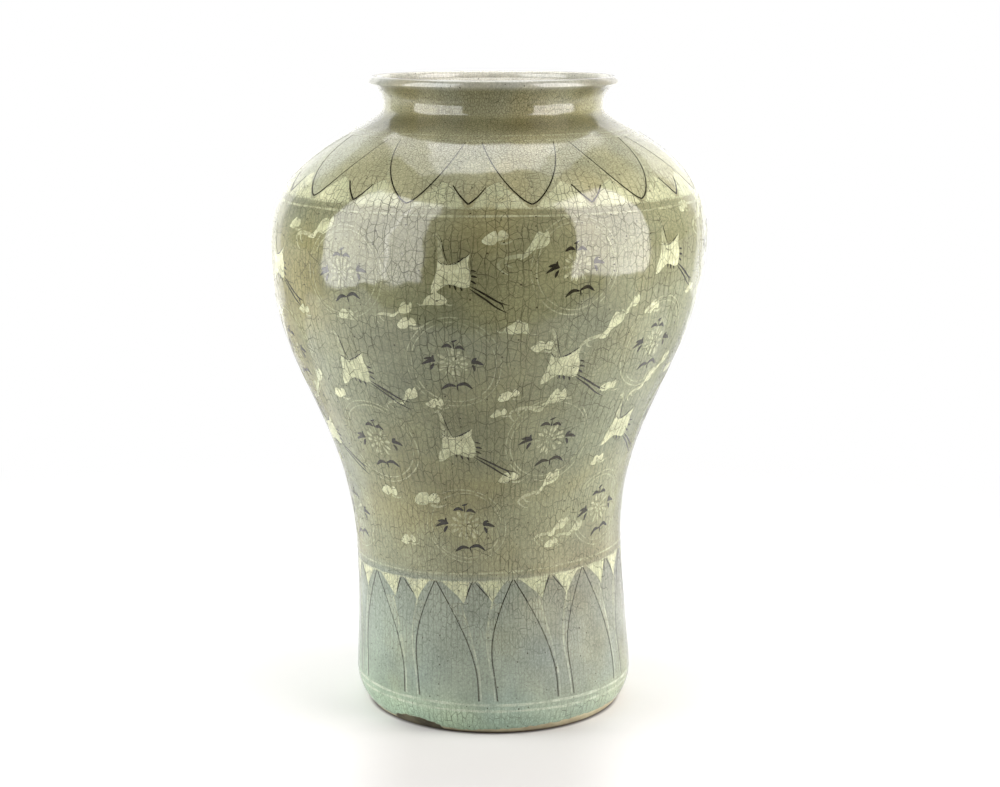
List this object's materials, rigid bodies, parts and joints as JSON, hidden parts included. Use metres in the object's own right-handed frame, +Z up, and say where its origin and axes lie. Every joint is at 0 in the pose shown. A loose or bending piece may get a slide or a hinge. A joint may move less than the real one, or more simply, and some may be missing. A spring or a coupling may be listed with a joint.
{
  "type": "celadon vase",
  "caption": "Wide-shouldered celadon vase with a short flared neck, inlaid with white slip cranes, petals and lappets under a crazed glaze; stands on a foot ring and holds flowers.",
  "frame": {"origin": "on the surface that the foot ring stands on, under the middle of the belly", "axes": "+Z up through the belly's middle, -Y towards the front of the picture, +X to its right"},
  "size_m": [0.2596, 0.2596, 0.38],
  "materials": {
    "celadon_glaze": "glossy crazed glaze, olive on the shoulder and blue-green at the foot",
    "white_slip": "cream slip inlay under the same crazed glaze",
    "black_slip": "olive-black slip inlay under the same crazed glaze",
    "bare_clay": "unglazed fired clay, matt and gritty"
  },
  "bodies": {
    "root": {"foot_ring": "bare_clay", "base_floor": "celadon_glaze", "lower_wall": "celadon_glaze", "upper_wall": "celadon_glaze", "neck": "celadon_glaze", "foot_line_lower": "white_slip", "foot_line_upper": "white_slip", "lappet_ground": "white_slip", "lappet_line_upper": "white_slip", "shoulder_line": "white_slip", "petal_ground": "white_slip", "neck_line_lower": "white_slip", "neck_line_upper": "white_slip", "crane_01": "white_slip", "crane_02": "white_slip", "crane_03": "white_slip", "crane_04": "white_slip", "crane_05": "white_slip", "crane_06": "white_slip", "crane_07": "white_slip", "crane_08": "white_slip", "crane_09": "white_slip", "crane_10": "white_slip", "crane_11": "white_slip", "crane_12": "white_slip", "crane_13": "white_slip", "crane_14": "white_slip", "crane_15": "white_slip", "crane_16": "white_slip", "crane_17": "white_slip", "crane_18": "white_slip"}
  },
  "joints": []
}
